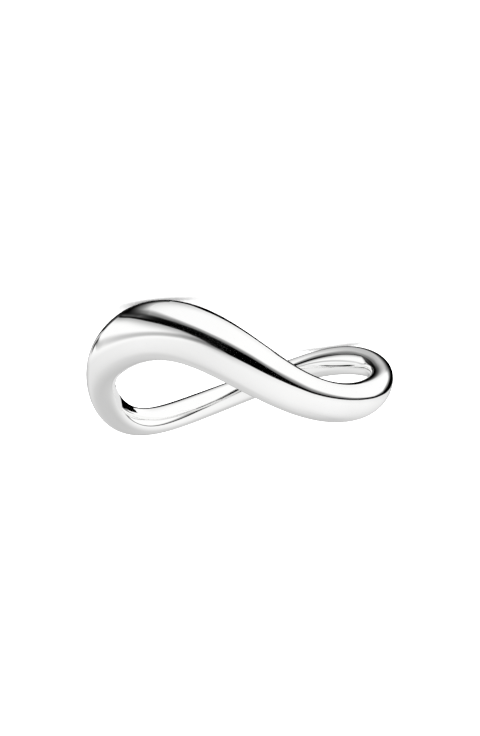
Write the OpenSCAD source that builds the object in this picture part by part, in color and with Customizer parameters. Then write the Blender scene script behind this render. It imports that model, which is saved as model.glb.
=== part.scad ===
// A finger ring in one piece: a closed band that rises and falls twice on its way round, broad at one
// crest and slim opposite. Seen level from the front, its near and far sides cross in a lying eight.
// Millimetres. The part lies on its crests, as the ring settles on a table.

/* [Finger hole] */
// Diameter of the finger hole
finger_d = 17.2; // [14:0.1:22]

/* [Wave] */
// Rise of the broad crest above the ring's middle
wave_h = 3.1; // [1:0.1:4.5]

/* [Band] */
// Width of the band at its broadest, on the broad crest
broad_w = 4; // [2.6:0.1:6]
// Width of the band at its narrowest, opposite
narrow_w = 1.65; // [1.2:0.05:2.4]
// Thickness of the band at its thickest, on the broad crest
thick_t = 2.3; // [1.6:0.1:3]
// Thickness of the band at its thinnest, opposite
thin_t = 1.45; // [1:0.05:1.6]
// How far the section leaves an oval for a soft rectangle, most of the way round
squareness = 0.05; // [0:0.01:0.1]

/* [Rest] */
// Angle by which the finger hole's axis leans back where the ring lies
rest_pitch = 10.3; // [0:0.1:20]
// Angle by which it leans sideways
rest_roll = 1.5; // [-10:0.1:10]

/* [Smoothness] */
// Number of sections round the ring
sections = 144; // [72:12:160]
// Number of sides of a section
sides = 28; // [16:4:32]

/* [Hidden] */

// The band's form, a row for each section at equal angles round the ring, from its right end by way of
// its back, with the broad crest up and at the front left. The columns are the rise of the section's
// middle, as a share of wave_h; its width, from 0 for narrow_w to 1 for broad_w; its thickness, from 0
// for thin_t to 1 for thick_t; its squareness, as a share of squareness; and its lean in degrees, positive
// where its top leans in.
RISE = 0;
WIDTH = 1;
THICKNESS = 2;
SQUARE = 3;
LEAN = 4;
FORM = [
    [ 0.05, 0.00, 0.15, 0.4,  -4],
    [ 0.37, 0.11, 0.06, 0.7,  -8],
    [ 0.26, 0.06, 0.00, 0.9,  -1],
    [-0.27, 0.04, 0.00, 0.9,   0],
    [-0.83, 0.10, 0.06, 1.0,  -6],
    [-0.88, 0.11, 0.29, 1.0, -16],
    [-0.10, 0.30, 0.59, 1.0,  -7],
    [ 0.67, 0.75, 0.76, 1.0,   5],
    [ 1.01, 1.00, 1.00, 1.0,   5],
    [ 0.35, 0.80, 0.88, 1.0,   0],
    [-0.44, 0.49, 0.59, 1.0,  -5],
    [-0.41, 0.27, 0.41, 0.9,  -5]
];

function unit(v) = v / norm(v);

// The share that a row of FORM has in what lies at some angle from it. The shares of all the rows add
// up to 1, and the smooth wave that they make passes through every row.
function share(angle) =
    abs(sin(angle / 2)) < 1e-6 ? 1 : sin(len(FORM) * angle / 2) / tan(angle / 2) / len(FORM);

// A column of FORM at any angle round the ring
function form(column, angle) =
    let (shares = [for (row = [0:len(FORM) - 1]) share(angle - row * 360 / len(FORM))])
    shares * [for (row = FORM) row[column]];

function rise(angle) = wave_h * form(RISE, angle);
function width(angle) = narrow_w + (broad_w - narrow_w) * form(WIDTH, angle);
function thickness(angle) = thin_t + (thick_t - thin_t) * form(THICKNESS, angle);

// The middle of the section at an angle: the band's inner face keeps to the finger hole
function middle(angle) =
    let (r = finger_d / 2 + thickness(angle) / 2) [r * cos(angle), r * sin(angle), rise(angle)];

// A section's points, square to the band's run and leant by its lean
function section(angle) =
    let (
        step = 360 / sections,
        along = unit(middle(angle + step) - middle(angle - step)),
        radial = [cos(angle), sin(angle), 0],
        out = unit(radial - (radial * along) * along),
        up = cross(out, along),
        lean = form(LEAN, angle),
        square = squareness * form(SQUARE, angle),
        across = cos(lean) * out + sin(lean) * up,
        tall = cos(lean) * up - sin(lean) * out
    )
    [for (i = [0:sides - 1])
        let (
            turn = i * 360 / sides,
            x = (cos(turn) - square * cos(3 * turn)) / (1 - square),
            y = (sin(turn) + square * sin(3 * turn)) / (1 - square)
        )
        middle(angle) + thickness(angle) / 2 * x * across + width(angle) / 2 * y * tall];

// Turned over onto its crests and leant as it settles
function laid(p) =
    [[1, 0, 0],
     [0, cos(rest_pitch), sin(rest_pitch)],
     [0, -sin(rest_pitch), cos(rest_pitch)]]
    * [[-cos(rest_roll), 0, sin(rest_roll)],
       [0, 1, 0],
       [-sin(rest_roll), 0, -cos(rest_roll)]]
    * p;

LAID = [for (i = [0:sections - 1], p = section(i * 360 / sections)) laid(p)];

// The point of the floor under the middle of the laid ring
FOOT = [
    (min([for (p = LAID) p.x]) + max([for (p = LAID) p.x])) / 2,
    (min([for (p = LAID) p.y]) + max([for (p = LAID) p.y])) / 2,
    min([for (p = LAID) p.z])
];

// The number of a point, counted round the ring and round the section
function place(i, j) = (i % sections) * sides + j % sides;

FACES = [for (i = [0:sections - 1], j = [0:sides - 1])
    each [
        [place(i, j), place(i, j + 1), place(i + 1, j + 1)],
        [place(i, j), place(i + 1, j + 1), place(i + 1, j)]
    ]];

module band() {
    color("gainsboro")
        polyhedron([for (p = LAID) p - FOOT], FACES);
}

band();
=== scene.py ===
"""Infinity ring in polished silver, lying on a pale floor in a white studio."""

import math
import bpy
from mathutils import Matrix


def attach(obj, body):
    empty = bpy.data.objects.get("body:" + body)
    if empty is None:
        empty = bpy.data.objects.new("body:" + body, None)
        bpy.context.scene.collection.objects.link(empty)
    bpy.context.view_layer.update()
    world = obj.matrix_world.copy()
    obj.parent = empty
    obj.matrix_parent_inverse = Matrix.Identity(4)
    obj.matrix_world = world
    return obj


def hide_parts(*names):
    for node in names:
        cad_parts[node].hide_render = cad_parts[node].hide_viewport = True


bl_info = {
    "name": "Infinity Ring",
    "version": (1, 0, 0),
    "blender": (4, 5, 0),
    "location": "View3D > Sidebar > Ring",
    "description": "Makes the band of an infinity ring and the studio it is seen in",
    "category": "Add Mesh",
}

import bpy
import numpy as np
from mathutils import Matrix, Vector

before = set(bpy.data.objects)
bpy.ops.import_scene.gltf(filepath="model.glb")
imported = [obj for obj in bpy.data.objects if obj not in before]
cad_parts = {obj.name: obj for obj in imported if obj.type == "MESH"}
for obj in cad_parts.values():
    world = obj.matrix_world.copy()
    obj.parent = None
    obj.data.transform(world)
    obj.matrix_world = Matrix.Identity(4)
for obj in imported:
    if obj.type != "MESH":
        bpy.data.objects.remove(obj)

MM = 0.001

# The band's form, a row for each section at equal angles round the ring, from its right end by way of
# its back, with the broad crest up and at the front left.
# rise of the section's middle, as a share of the wave's height
# width, from 0 for the narrowest to 1 for the broadest
# thickness, from 0 for the thinnest to 1 for the thickest
# squareness, as a share of the ring's own
# lean in degrees, positive where its top leans in
FORM = np.array([
    (0.05, 0.00, 0.15, 0.4, -4),
    (0.37, 0.11, 0.06, 0.7, -8),
    (0.26, 0.06, 0.00, 0.9, -1),
    (-0.27, 0.04, 0.00, 0.9, 0),
    (-0.83, 0.10, 0.06, 1.0, -6),
    (-0.88, 0.11, 0.29, 1.0, -16),
    (-0.10, 0.30, 0.59, 1.0, -7),
    (0.67, 0.75, 0.76, 1.0, 5),
    (1.01, 1.00, 1.00, 1.0, 5),
    (0.35, 0.80, 0.88, 1.0, 0),
    (-0.44, 0.49, 0.59, 1.0, -5),
    (-0.41, 0.27, 0.41, 0.9, -5),
])
RISE, WIDTH, THICKNESS, SQUARE, LEAN = range(5)

# Below this a sine counts as zero
TINY = 1e-9

# The silver's haze: how close together its patches lie, where in their noise it starts and is full, how
# much the polishing lines vary it, and how bright hazy metal is as a share of clear metal
PATCHES = 260.0
HAZE_START, HAZE_FULL = 0.45, 0.7
HAZE_VARIES = 0.6
HAZY_TONE = 0.985

# Its polishing lines: how fine they are round a section and along the band, and how deep they are in
# clear metal as a share of their depth in haze
LINES_ROUND, LINES_ALONG = 45, 2.5
CLEAR_DEPTH = 0.4

# The picture's height in pixels, the size of a pixel at the ring, and in millimetres the side of the
# camera's sensor that takes the picture's height
PICTURE = 736
PIXEL = 0.0677 * MM
SENSOR = 36

# How near the camera sees, in metres
NEAREST = 0.01

# The studio that the silver mirrors, in brightness as seen. Azimuths are in degrees from the viewer,
# positive to the right, and heights in degrees with the broad crest up.

# The power that turns brightness as seen into light
SIGHT = 2.2

# The light of white and of pale things
WHITE, PALE = 1.04, 0.8

# A dark flag, by azimuth: heights of its lower edge and of its dark, half light and fully light parts,
# and how light its dark part is
FLAG = [
    (-180, 1.5, 19, 23.5, 31, 0.12),
    (-172, 1.5, 18.5, 24, 33, 0.12),
    (-165, 4.5, 19, 25, 36, 0.1),
    (-155, 9.5, 20.5, 25.5, 36, 0.15),
    (-145, 11.5, 21, 25.5, 35, 0.28),
    (-135, 20.6, 22.5, 26.5, 34, 0.44),
    (-120, 19.3, 24, 29.5, 36, 0.56),
    (-105, 18, 23.5, 28, 34, 0.52),
    (-95, 16.7, 22, 27, 34, 0.4),
    (-85, 15.4, 20.5, 25, 36, 0.26),
    (-75, 14.2, 19, 23, 33, 0.15),
    (-65, 13.1, 17.8, 20.6, 29, 0.08),
    (-55, 11.6, 16, 18.5, 25, 0.05),
    (-45, 9.9, 14.4, 16.5, 21.8, 0.03),
    (-35, 7.5, 12.5, 14.3, 18.7, 0.02),
    (-25, 4.8, 10.5, 12, 16.2, 0.01),
    (-15, 1.4, 8, 9.5, 13.8, 0.01),
    (-5, -1.3, 5.9, 7.6, 12.2, 0.01),
    (5, -2.6, 4.1, 5.8, 10.6, 0.01),
    (15, -3.8, 2.8, 4.7, 9.2, 0.01),
    (25, -4.3, 1.2, 2.8, 7.6, 0.01),
    (35, -4.3, -0.8, 1.3, 7, 0.01),
    (45, -4.2, -1.7, -0.1, 7.5, 0.01),
    (55, -4.5, -2.7, -1.4, 5.5, 0.01),
    (75, -4, -2.2, -1.3, 3.2, 0.02),
    (95, -3.7, -2.5, -1.6, 0.5, 0.03),
    (120, -3, -2.5, -1.9, -0.6, 0.03),
    (135, -2.2, -1, 0.6, 3, 0.03),
    (145, -1.9, 1.5, 5.8, 14, 0.03),
    (155, -1.1, 8.5, 16.3, 24, 0.03),
    (166, 0, 19, 24, 30, 0.06),
    (180, 1.5, 19, 23.5, 31, 0.12),
]

# How far the flag's lower edge fades to either side
FLAG_FADE = 0.5

# The flag's black hem: how far over the lower edge its middle lies, how dark it is, and how far from its
# middle it starts to fade and ends
HEM_RISE, HEM_DEPTH = 1.2, 0.75
HEM_FADE = (0.2, 1.6)

# How dark the tent gets right under the flag, by azimuth, and how far under it that starts
PENUMBRA = [(-180, 0.3), (-30, 0.3), (5, 0.1), (25, 0.04), (180, 0.04)]
PENUMBRA_HEIGHT = 8

# A dark half disc straight behind the ring, by the angle from its middle: its brightness
DISC = [(0, 0.0), (19, 0.04), (22, 0.25), (25, 0.6), (28, 0.9), (31, 1.0), (180, 1.0)]

# Strips of card that follow the band's upper edge and outline it, black on one side and white on the
# other: angles round the ring where a strip starts and ends, and in millimetres the distances of its
# black and white sides from the ring's axis, and how far over the band's edge it starts and ends
STRIPS = [
    (93, 165, 9.9, 9.95, 0.2, 1.3),
    (196, 350, 8, 7.95, 0.25, 2.3),
    (245, 350, 8, 7.95, 0.2, 4.0),
    (288, 352, 8.8, 8.75, 0.15, 4.5),
]

# Degrees round the ring from one joint of a strip to the next, and how fast a strip widens from its
# ends, in shares of its width to a radian
STRIP_STEP = 3
STRIP_TAPER = 4

# A small pale card by the ring's left end, which hides the flag from its inner face, in millimetres
# from the ring's middle: its left and right ends, how far back it stands, and its lower and upper edges
CARD = (-8.6, -7.6, 2.4, -2.3, -0.6)

# A soft shade round the broad crest's left side, by azimuth from a point there: heights where it
# starts, is full, fades and ends, and how dark it is
SHADE = [
    (-205, 24, 44, 56, 76, 0.71),
    (-195, 34, 47, 58, 76, 0.69),
    (-185, 26, 46, 58, 76, 0.77),
    (-175, 24, 44, 56, 78, 0.82),
    (-165, 20, 45, 47, 76, 0.92),
    (-155, 13, 40, 48, 84, 0.92),
    (-145, 8, 29, 42, 84, 0.95),
    (-135, 12, 19, 34, 76, 0.965),
    (-125, 12, 24, 29, 76, 0.93),
    (-115, 11, 24, 26, 76, 0.85),
    (-105, 10, 23, 26, 76, 0.73),
    (-95, 10, 22, 25, 72, 0.61),
    (-85, 10, 20, 24, 66, 0.46),
    (-75, 16, 20, 22, 52, 0.3),
    (-65, 16, 20, 21, 36, 0.15),
    (-60, 16, 20, 21, 26, 0),
]

# The heights between which it hangs, and the degrees from one of its points to the next
SHADE_LOW, SHADE_HIGH, SHADE_STEP = 10, 85, 5

# Its azimuths run on past straight behind, so they are counted between these two
SHADE_ROUND = (120, -240)

# A seam in the tent, by azimuth: its height and how dark it is
SEAM = [
    (-180, 8, 0.04),
    (-165, 3, 0.05),
    (-157, 4, 0.1),
    (-151, 4.7, 0.9),
    (-146, 7, 0.85),
    (-142, 5, 0.25),
    (-136, 4.5, 0.2),
    (-128, 5, 0.16),
    (-105, 5.2, 0.22),
    (-60, 5.2, 0.28),
    (-43, 4.7, 0.32),
    (-26, 3.1, 0.38),
    (-10, 0.5, 0.3),
    (10, -2, 0),
    (180, -2, 0),
]

# How far from its middle the seam starts to fade and ends
SEAM_FADE = (0.2, 2.8)

# The tent's lower half, by azimuth: its brightness at the heights STEEP and SLOPING, and at the horizon
STEEP, SLOPING, HORIZON = -55, -30, 0
TENT = [
    (-180, 0.78, 0.76, 0.6),
    (-152, 0.8, 0.85, 0.9),
    (-130, 0.82, 0.87, 0.92),
    (-80, 0.81, 0.92, 0.96),
    (-50, 0.86, 0.9, 0.95),
    (-20, 0.92, 0.93, 0.94),
    (30, 0.92, 0.96, 0.98),
    (70, 0.87, 0.95, 1.0),
    (110, 0.8, 0.9, 1.0),
    (150, 0.77, 0.84, 0.94),
    (180, 0.78, 0.76, 0.6),
]

# The height below which it is the same all round, and its brightness there
FOOT, FOOT_TONE = -85, 0.86

# Heights where its upper half starts and is full
UPPER_HALF = (-1, 4)

# How dark the upper half gets on the left and on the right, and the heights where each starts and is full
LEFT_DARK, LEFT_HEIGHTS = 0.26, (16, 28)
RIGHT_DARK, RIGHT_HEIGHTS = 0.1, (32, 60)

# Where the left side starts and is full, by how far a direction points right, and where the back does,
# by how far it points away
LEFT_SIDE = (0.3, -0.1)
BACK_SIDE = (-0.5, 0.9)


class Field:
    """A number on its way through a shader. Arithmetic on it adds Math nodes."""

    def __init__(self, shader, socket):
        self.shader, self.socket = shader, socket

    def math(self, operation, *others, flip=False):
        """Adds a Math node, on this number first, or last where flip is true."""
        values = [*others, self] if flip else [self, *others]
        return self.shader.add("ShaderNodeMath", {"operation": operation}, dict(enumerate(values)))

    def __add__(self, other):
        return self.math("ADD", other)

    __radd__ = __add__

    def __sub__(self, other):
        return self.math("SUBTRACT", other)

    def __rsub__(self, other):
        return self.math("SUBTRACT", other, flip=True)

    def __mul__(self, other):
        return self.math("MULTIPLY", other)

    __rmul__ = __mul__

    def __truediv__(self, other):
        return self.math("DIVIDE", other)

    def __rtruediv__(self, other):
        return self.math("DIVIDE", other, flip=True)

    def degrees(self, operation, *others):
        """The angle in degrees that an inverse operation finds."""
        return self.math(operation, *others) * math.degrees(1)

    def output(self, name):
        """Another output of the node that this one comes from."""
        return Field(self.shader, self.socket.node.outputs[name])


class Shader:
    """The nodes of one material or world."""

    def __init__(self, owner):
        owner.use_nodes = True
        self.tree = owner.node_tree
        self.tree.nodes.clear()

    def add(self, kind, settings=None, sockets=None):
        """Adds a node. Its settings come first, with a ramp's stops as (position, colour) pairs, and then
        its sockets by name or number, each a value or a field. Returns its first output, if it has one."""
        node = self.tree.nodes.new(kind)
        for name, value in (settings or {}).items():
            if name == "stops":
                self.set_stops(node.color_ramp, value)
            else:
                setattr(node, name, value)
        for name, value in (sockets or {}).items():
            if isinstance(value, Field):
                self.tree.links.new(value.socket, node.inputs[name])
            else:
                node.inputs[name].default_value = value
        shown = [socket for socket in node.outputs if socket.enabled]
        return Field(self, shown[0]) if shown else None

    @staticmethod
    def set_stops(ramp, stops):
        while len(ramp.elements) > 1:
            ramp.elements.remove(ramp.elements[0])
        for number, (position, colour) in enumerate(stops):
            element = ramp.elements[0] if number == 0 else ramp.elements.new(position)
            element.position = position
            element.color = colour

    def curve(self, field, table, low, high, column=1):
        """A smooth curve through a table of 32 rows at most, from the field's value in its first column to
        the result in another, with results from low to high."""
        first, last = table[0][0], table[-1][0]
        places = [(row[0] - first) / (last - first) for row in table]
        greys = [(row[column] - low) / (high - low) for row in table]
        stops = [(place, (grey, grey, grey, 1)) for place, grey in zip(places, greys)]
        factor = (field - first) / (last - first)
        ramp = self.add("ShaderNodeValToRGB", {"stops": stops}, {"Fac": factor})
        return ramp * (high - low) + low

    def ramp(self, field, start, end, kind="LINEAR"):
        """0 before start and 1 past end, straight between them."""
        sockets = {"Value": field, "From Min": start, "From Max": end}
        return self.add("ShaderNodeMapRange", {"interpolation_type": kind}, sockets)

    def step(self, field, start, end):
        """0 before start and 1 past end, smooth between them."""
        return self.ramp(field, start, end, "SMOOTHSTEP")

    def near(self, field, start, end):
        """1 within start of 0, and 0 further from it than end, smooth between them."""
        return 1 - self.step(field.math("ABSOLUTE"), start, end)


class RingSizes(bpy.types.PropertyGroup):
    """The ring's own sizes. With the rest angles they put the fine band where the frame's solid is."""

    finger_d: bpy.props.FloatProperty(
        name="Finger hole", description="Diameter of the finger hole", default=17.2 * MM, unit="LENGTH")
    wave_h: bpy.props.FloatProperty(
        name="Wave", description="Rise of the broad crest above the middle", default=3.1 * MM,
        unit="LENGTH")
    broad_w: bpy.props.FloatProperty(
        name="Broad width", description="Width of the band on the broad crest", default=4 * MM,
        unit="LENGTH")
    narrow_w: bpy.props.FloatProperty(
        name="Narrow width", description="Width of the band opposite", default=1.65 * MM,
        unit="LENGTH")
    thick_t: bpy.props.FloatProperty(
        name="Most thickness", description="Thickness on the broad crest", default=2.3 * MM,
        unit="LENGTH")
    thin_t: bpy.props.FloatProperty(
        name="Least thickness", description="Thickness of the band opposite", default=1.45 * MM,
        unit="LENGTH")
    squareness: bpy.props.FloatProperty(
        name="Squareness", description="How far the section leaves an oval", default=0.05,
        subtype="FACTOR")
    rest_pitch: bpy.props.FloatProperty(
        name="Rest pitch", description="Lean of the laid ring towards the back",
        default=math.radians(10.3), subtype="ANGLE")
    rest_roll: bpy.props.FloatProperty(
        name="Rest roll", description="Lean of the laid ring sideways", default=math.radians(1.5),
        subtype="ANGLE")
    sections: bpy.props.IntProperty(name="Sections", description="Sections round the band", default=480)
    sides: bpy.props.IntProperty(name="Sides", description="Sides of each section", default=96)


class SilverLook(bpy.types.PropertyGroup):
    """The metal's finish."""

    colour: bpy.props.FloatVectorProperty(
        name="Colour", description="What polished silver sends back", default=(0.96, 0.96, 0.955),
        subtype="COLOR", size=3)
    polish: bpy.props.FloatProperty(
        name="Polish", description="Roughness where the polish is best", default=0.02, subtype="FACTOR")
    haze: bpy.props.FloatProperty(
        name="Haze", description="Roughness that handling adds in places", default=0.03, subtype="FACTOR")
    line_depth: bpy.props.FloatProperty(
        name="Line depth", description="Depth of the fine polishing lines along the band", default=2e-7,
        unit="LENGTH", precision=8)


class StudioLook(bpy.types.PropertyGroup):
    """The floor, the light and the camera."""

    floor_size: bpy.props.FloatProperty(
        name="Floor", description="Side of the floor", default=3.0, unit="LENGTH")
    floor_colour: bpy.props.FloatVectorProperty(
        name="Floor colour", description="Colour of the floor", default=(0.9, 0.9, 0.9), subtype="COLOR",
        size=3)
    floor_light: bpy.props.FloatProperty(
        name="Floor light", description="Light that falls on the floor", default=2.4)
    shade_from: bpy.props.FloatVectorProperty(
        name="Shade from", description="Point by the broad crest that the shade curves round",
        default=(-7.2 * MM, -6.7 * MM, 4.7 * MM), subtype="XYZ", size=3)
    shade_distance: bpy.props.FloatProperty(
        name="Shade distance", description="Distance of the shade from there", default=7 * MM,
        unit="LENGTH")
    distance: bpy.props.FloatProperty(
        name="Distance", description="From the camera to the ring's middle", default=0.3, unit="LENGTH")
    frame_height: bpy.props.FloatProperty(
        name="Frame height", description="Height of the picture at the ring", default=PICTURE * PIXEL,
        unit="LENGTH")
    frame_shift: bpy.props.FloatVectorProperty(
        name="Frame shift", description="Shift of the picture, as shares of its height",
        default=(-2.5 / PICTURE, 10 / PICTURE), size=2)


def equal_angles(count):
    """Angles in equal steps, once round."""
    return np.arange(count) * 2 * math.pi / count


def arrows(angle):
    """Level arrows of length 1, at angles from +X."""
    return np.stack([np.cos(angle), np.sin(angle), 0 * angle], -1)


def unit(vectors):
    return vectors / np.linalg.norm(vectors, axis=-1, keepdims=True)


def share(angle):
    """The share of each of the form's rows in what lies at some angle from it."""
    count = len(FORM)
    with np.errstate(divide="ignore", invalid="ignore"):
        shares = np.sin(count * angle / 2) / np.tan(angle / 2) / count
    return np.where(np.abs(np.sin(angle / 2)) < TINY, 1.0, shares)


def form(column, angle):
    """A column of the form at any angles round the ring."""
    return share(angle[:, None] - equal_angles(len(FORM))) @ FORM[:, column]


def band_rise(sizes, angle):
    return sizes.wave_h * form(RISE, angle)


def band_width(sizes, angle):
    return sizes.narrow_w + (sizes.broad_w - sizes.narrow_w) * form(WIDTH, angle)


def band_thickness(sizes, angle):
    return sizes.thin_t + (sizes.thick_t - sizes.thin_t) * form(THICKNESS, angle)


def rest_turn(sizes):
    """Turns the ring over onto its crests and leans it as it settles."""
    over = Matrix.Rotation(math.pi - sizes.rest_roll, 3, "Y")
    return Matrix.Rotation(-sizes.rest_pitch, 3, "X") @ over


def band_points(sizes):
    """The band's points, a row for each section, with the ring's own axis upright."""
    angle = equal_angles(sizes.sections)
    thickness, width = band_thickness(sizes, angle), band_width(sizes, angle)
    radial = arrows(angle)
    middle = (sizes.finger_d / 2 + thickness / 2)[:, None] * radial
    middle[:, 2] = band_rise(sizes, angle)
    along = unit(np.roll(middle, -1, 0) - np.roll(middle, 1, 0))
    out = unit(radial - (radial * along).sum(-1, keepdims=True) * along)
    up = np.cross(out, along)
    lean = np.radians(form(LEAN, angle))[:, None]
    across = np.cos(lean) * out + np.sin(lean) * up
    tall = np.cos(lean) * up - np.sin(lean) * out
    turn = equal_angles(sizes.sides)
    square = sizes.squareness * form(SQUARE, angle)[:, None]
    x = (np.cos(turn) - square * np.cos(3 * turn)) / (1 - square)
    y = (np.sin(turn) + square * np.sin(3 * turn)) / (1 - square)
    x, y = thickness[:, None] / 2 * x, width[:, None] / 2 * y
    return middle[:, None] + x[:, :, None] * across[:, None] + y[:, :, None] * tall[:, None]


def closed_net(sections, sides):
    """Four-sided faces of a net that closes both ways."""
    i, j = np.meshgrid(np.arange(sections), np.arange(sides), indexing="ij")
    i_next, j_next = (i + 1) % sections, (j + 1) % sides
    corners = [i * sides + j, i_next * sides + j, i_next * sides + j_next, i * sides + j_next]
    return np.stack(corners, -1).reshape(-1, 4)


def polishing_places(sizes):
    """For each point its place round the section and its place along the band, both as turning arrows."""
    angle, turn = np.meshgrid(equal_angles(sizes.sections), equal_angles(sizes.sides), indexing="ij")
    return [arrows(place).reshape(-1, 3) for place in (turn, angle)]


class RING_OT_band(bpy.types.Operator):
    """Make the band"""

    bl_idname = "ring.band"
    bl_label = "Band"

    def execute(self, context):
        sizes = context.scene.ring_sizes
        points = band_points(sizes).reshape(-1, 3) @ np.array(rest_turn(sizes)).T
        low, high = points.min(0), points.max(0)
        foot = np.array([*(low + high)[:2] / 2, low[2]])
        context.scene["ring_middle"] = list(-foot)
        mesh = bpy.data.meshes.new("silver_band")
        mesh.from_pydata((points - foot).tolist(), [], closed_net(sizes.sections, sizes.sides).tolist())
        mesh.polygons.foreach_set("use_smooth", [True] * len(mesh.polygons))
        mesh.update()
        for name, values in zip(("section", "along"), polishing_places(sizes)):
            mesh.attributes.new(name, "FLOAT_VECTOR", "POINT").data.foreach_set("vector", values.ravel())
        mesh.materials.append(silver(context.scene.silver_look))
        band = bpy.data.objects.new("silver_band", mesh)
        context.scene.collection.objects.link(band)
        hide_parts("band")
        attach(band, "root")
        return {"FINISHED"}


def silver(look):
    """Mirror-polished silver: faint haze in patches, and hairlines too fine to bend a reflection."""
    material = bpy.data.materials.new("polished_silver")
    shader = Shader(material)
    place = shader.add("ShaderNodeTexCoord").output("Object")
    patches = shader.add("ShaderNodeTexNoise", sockets={"Vector": place, "Scale": PATCHES, "Detail": 3.0})
    hazy = shader.step(patches, HAZE_START, HAZE_FULL)

    section, along = [
        shader.add("ShaderNodeAttribute", {"attribute_name": name}).output("Vector")
        for name in ("section", "along")
    ]
    across = shader.add(
        "ShaderNodeVectorMath", {"operation": "MULTIPLY"}, {0: section, 1: (LINES_ROUND,) * 3})
    parts = shader.add("ShaderNodeSeparateXYZ", sockets={0: along})
    x, y = parts.output("X"), parts.output("Y")
    lift = shader.add("ShaderNodeCombineXYZ", sockets={"Z": x * LINES_ALONG})
    lines_at = shader.add("ShaderNodeVectorMath", {"operation": "ADD"}, {0: across, 1: lift})
    lines = shader.add("ShaderNodeTexNoise", {"noise_dimensions": "4D"}, {
        "Vector": lines_at, "W": y * LINES_ALONG, "Scale": 1.0, "Detail": 2.0})

    roughness = look.polish + look.haze * hazy * (1 - HAZE_VARIES / 2 + HAZE_VARIES * lines)
    normal = shader.add("ShaderNodeBump", sockets={
        "Strength": 1.0,
        "Distance": look.line_depth,
        "Height": lines * (CLEAR_DEPTH + (1 - CLEAR_DEPTH) * hazy),
    })
    tint = shader.add("ShaderNodeMix", {"data_type": "RGBA"}, {
        "Factor": hazy,
        "A": (*look.colour, 1),
        "B": (*[HAZY_TONE * part for part in look.colour], 1),
    })
    surface = shader.add("ShaderNodeBsdfPrincipled", sockets={
        "Base Color": tint, "Metallic": 1.0, "Roughness": roughness, "Normal": normal})
    shader.add("ShaderNodeOutputMaterial", sockets={"Surface": surface})
    return material


class RING_OT_studio(bpy.types.Operator):
    """Lay the floor, set the light and place the camera"""

    bl_idname = "ring.studio"
    bl_label = "Studio"

    def execute(self, context):
        scene = context.scene
        look = scene.studio_look
        turn = rest_turn(scene.ring_sizes)
        lay_floor(scene, look)
        scene.world = studio_world(turn, look)
        hang_shade(scene, look, turn)
        hang_cards(scene, turn)
        place_camera(scene, look, turn)
        scene.view_settings.view_transform = "Standard"
        return {"FINISHED"}


def lay_floor(scene, look):
    half = look.floor_size / 2
    corners = [(-half, -half, 0), (half, -half, 0), (half, half, 0), (-half, half, 0)]
    mesh = bpy.data.meshes.new("floor")
    mesh.from_pydata(corners, [], [(0, 1, 2, 3)])
    material = bpy.data.materials.new("white_floor")
    shader = Shader(material)
    surface = shader.add("ShaderNodeBsdfDiffuse", sockets={"Color": (*look.floor_colour, 1)})
    shader.add("ShaderNodeOutputMaterial", sockets={"Surface": surface})
    mesh.materials.append(material)
    floor = bpy.data.objects.new("floor", mesh)
    floor.visible_glossy = False
    scene.collection.objects.link(floor)


def studio_world(turn, look):
    """A white tent with a dark flag, a seam and a half disc behind, which only the silver sees, and even
    white light for the floor."""
    world = bpy.data.worlds.new("studio")
    shader = Shader(world)
    direction = shader.add("ShaderNodeTexCoord").output("Generated")
    right, away, up = [
        shader.add("ShaderNodeVectorMath", {"operation": "DOT_PRODUCT"}, {0: direction, 1: turn.col[axis]})
        for axis in range(3)
    ]
    height = up.degrees("ARCSINE")
    azimuth = right.degrees("ARCTAN2", away * -1)

    low, dark, half, full = [shader.curve(azimuth, FLAG, -90, 90, edge) for edge in (1, 2, 3, 4)]
    least = shader.curve(azimuth, FLAG, 0, 1, 5)
    behind = shader.step(height, low - FLAG_FADE, low + FLAG_FADE)
    rise = (shader.step(height, dark, half) + shader.step(height, half, full)) / 2
    lift = least + (1 - least) * rise
    penumbra = shader.curve(azimuth, PENUMBRA, 0, 1)
    under = 1 - penumbra * shader.step(height, low - PENUMBRA_HEIGHT, low).math("POWER", 2)
    hem = HEM_DEPTH * shader.near(height - low - HEM_RISE, *HEM_FADE)
    flag = (under * (1 - behind) + lift * behind) * (1 - hem)

    seam_height = shader.curve(azimuth, SEAM, -90, 90)
    seam_depth = shader.curve(azimuth, SEAM, 0, 1, 2)
    seam = 1 - seam_depth * shader.near(height - seam_height, *SEAM_FADE)

    steep, sloping, level = [shader.curve(azimuth, TENT, 0, 1, part) for part in (1, 2, 3)]
    below = level + (sloping - level) * shader.ramp(height, HORIZON, SLOPING)
    below = below + (steep - sloping) * shader.ramp(height, SLOPING, STEEP)
    below = below + (FOOT_TONE - steep) * shader.ramp(height, STEEP, FOOT)
    left = shader.step(right, *LEFT_SIDE)
    dim = LEFT_DARK * left * shader.step(height, *LEFT_HEIGHTS)
    dim = dim + RIGHT_DARK * (1 - left) * shader.step(height, *RIGHT_HEIGHTS)
    disc = shader.curve(away.degrees("ARCCOSINE"), DISC, 0, 1)
    above = (1 - dim * shader.step(away, *BACK_SIDE)) * (1 - behind + disc * behind)
    tent = below + (above - below) * shader.step(height, *UPPER_HALF)

    mirrored = (tent * flag * seam).math("POWER", SIGHT) * WHITE
    glossy = shader.add("ShaderNodeLightPath").output("Is Glossy Ray")
    light = mirrored * glossy + (1 - glossy) * look.floor_light
    background = shader.add("ShaderNodeBackground", sockets={"Color": (1, 1, 1, 1), "Strength": light})
    shader.add("ShaderNodeOutputWorld", sockets={"Surface": background})
    return world


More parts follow.
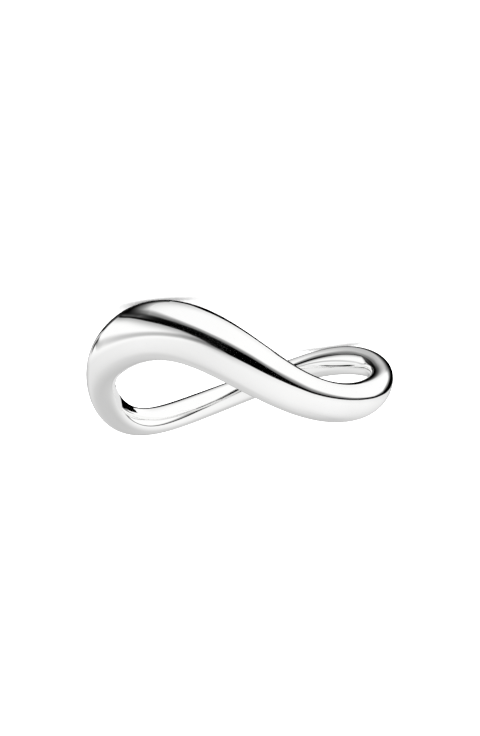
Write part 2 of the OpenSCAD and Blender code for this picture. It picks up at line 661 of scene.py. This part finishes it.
def hang_shade(scene, look, turn):
    """A soft dark shade that curves round the broad crest's left side."""
    columns = np.arange(SHADE[0][0], SHADE[-1][0] + 1, SHADE_STEP)
    rows = np.arange(SHADE_LOW, SHADE_HIGH + 1, SHADE_STEP)
    azimuth, height = np.radians(np.meshgrid(columns, rows, indexing="ij"))
    points = [np.sin(azimuth) * np.cos(height), -np.cos(azimuth) * np.cos(height), np.sin(height)]
    points = look.shade_distance * np.stack(points, -1).reshape(-1, 3)
    count = len(rows)
    corner = (np.arange(len(columns) - 1)[:, None] * count + np.arange(count - 1)).reshape(-1, 1)
    faces = corner + [0, count, count + 1, 1]
    hang(scene, turn, "shade", points.tolist(), faces.tolist(), soft_shade(), look.shade_from)


def hang_cards(scene, turn):
    """Strips of card along the band, and a small pale card."""
    for side, (colour, brightness) in enumerate((("black", 0), ("white", WHITE))):
        points, faces = [], []
        for first, last, *distances, low, high in STRIPS:
            angle = np.radians(np.arange(first, last + 1, STRIP_STEP))
            strip = strip_points(scene.ring_sizes, angle, distances[side] * MM, low * MM, high * MM)
            start, count = len(points), len(angle)
            points += strip.reshape(-1, 3).tolist()
            corners = np.array([0, 1, count + 1, count])
            faces += (start + np.arange(count - 1)[:, None] + corners).tolist()
        name = f"{colour}_strips"
        hang(scene, turn, name, points, faces, glow(name, brightness))
    left, right, back, low, high = [part * MM for part in CARD]
    points = [(left, back, low), (right, back, low), (right, back, high), (left, back, high)]
    hang(scene, turn, "pale_card", points, [(0, 1, 2, 3)], glow("pale_card", PALE))


def strip_points(sizes, angle, distance, low, high):
    """The lower and the upper edge of a strip, which narrows to a point at both ends."""
    edge = band_rise(sizes, angle) + band_width(sizes, angle) / 2
    from_start, to_end = (angle - angle[0]) * STRIP_TAPER, (angle[-1] - angle) * STRIP_TAPER
    taper = np.clip(from_start, 0, 1) * np.clip(to_end, 0, 1)
    heights = edge + (low + high) / 2 + np.outer((-1, 1), taper) * (high - low) / 2
    x, y = distance * np.cos(angle), distance * np.sin(angle)
    return np.stack([[x, x], [y, y], heights], -1)


def hang(scene, turn, name, points, faces, material, at=(0, 0, 0)):
    """Hangs up what only the silver sees. Its points are given with the broad crest up, from a point that
    is itself given from the ring's middle."""
    mesh = bpy.data.meshes.new(name)
    mesh.from_pydata(points, [], faces)
    mesh.materials.append(material)
    hung = bpy.data.objects.new(name, mesh)
    place = Vector(scene["ring_middle"]) + turn @ Vector(at)
    hung.matrix_world = Matrix.Translation(place) @ turn.to_4x4()
    hung.visible_camera = hung.visible_diffuse = hung.visible_shadow = False
    scene.collection.objects.link(hung)


def glow(name, brightness):
    """Card that sends out even light, or none where it is black."""
    material = bpy.data.materials.new(name)
    shader = Shader(material)
    surface = shader.add("ShaderNodeEmission", sockets={"Color": (1, 1, 1, 1), "Strength": brightness})
    shader.add("ShaderNodeOutputMaterial", sockets={"Surface": surface})
    return material


def soft_shade():
    """Black gauze as dense as the shade's table says."""
    material = bpy.data.materials.new("soft_shade")
    shader = Shader(material)
    place = shader.add("ShaderNodeTexCoord").output("Object")
    place = shader.add("ShaderNodeVectorMath", {"operation": "NORMALIZE"}, {0: place})
    parts = shader.add("ShaderNodeSeparateXYZ", sockets={0: place})
    x, y, z = [parts.output(name) for name in "XYZ"]
    height = z.degrees("ARCSINE")
    azimuth = x.degrees("ARCTAN2", y * -1).math("WRAP", *SHADE_ROUND)
    start, dense, fade, end = [shader.curve(azimuth, SHADE, 0, 90, edge) for edge in (1, 2, 3, 4)]
    depth = shader.curve(azimuth, SHADE, 0, 1, 5)
    cover = depth * shader.step(height, start, dense) * (1 - shader.ramp(height, fade, end))
    through = (1 - cover).math("POWER", SIGHT)
    clear = shader.add("ShaderNodeBsdfTransparent")
    black = shader.add("ShaderNodeBsdfDiffuse", sockets={"Color": (0, 0, 0, 1)})
    surface = shader.add("ShaderNodeMixShader", sockets={0: through, 1: black, 2: clear})
    shader.add("ShaderNodeOutputMaterial", sockets={"Surface": surface})
    return material


def place_camera(scene, look, turn):
    """Level with the ring's own middle, and with its broad crest up in the picture."""
    camera = bpy.data.objects.new("camera", bpy.data.cameras.new("camera"))
    right, away, up = turn.col
    axes = Matrix((right, up, -away)).transposed()
    place = Vector(scene["ring_middle"]) - away * look.distance
    camera.matrix_world = Matrix.Translation(place) @ axes.to_4x4()
    camera.data.sensor_width = SENSOR
    camera.data.lens = SENSOR * look.distance / look.frame_height
    camera.data.shift_x, camera.data.shift_y = look.frame_shift
    camera.data.clip_start = NEAREST
    scene.collection.objects.link(camera)
    scene.camera = camera


class RING_PT_panel(bpy.types.Panel):
    """The ring's sizes and operators"""

    bl_idname = "RING_PT_panel"
    bl_label = "Infinity Ring"
    bl_space_type = "VIEW_3D"
    bl_region_type = "UI"
    bl_category = "Ring"

    def draw(self, context):
        for group in (context.scene.ring_sizes, context.scene.silver_look, context.scene.studio_look):
            box = self.layout.box()
            for name in group.bl_rna.properties.keys():
                if name not in ("rna_type", "name"):
                    box.prop(group, name)
        for operator in OPERATORS:
            self.layout.operator(operator.bl_idname)


GROUPS = {"ring_sizes": RingSizes, "silver_look": SilverLook, "studio_look": StudioLook}
OPERATORS = [RING_OT_band, RING_OT_studio]


def register():
    for kind in (*GROUPS.values(), *OPERATORS, RING_PT_panel):
        bpy.utils.register_class(kind)
    for name, group in GROUPS.items():
        setattr(bpy.types.Scene, name, bpy.props.PointerProperty(type=group))


def unregister():
    for name in GROUPS:
        delattr(bpy.types.Scene, name)
    for kind in (RING_PT_panel, *OPERATORS, *GROUPS.values()):
        bpy.utils.unregister_class(kind)


def main():
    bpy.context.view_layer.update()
    register()
    bpy.ops.ring.band()
    bpy.ops.ring.studio()


if __name__ == "__main__":
    main()
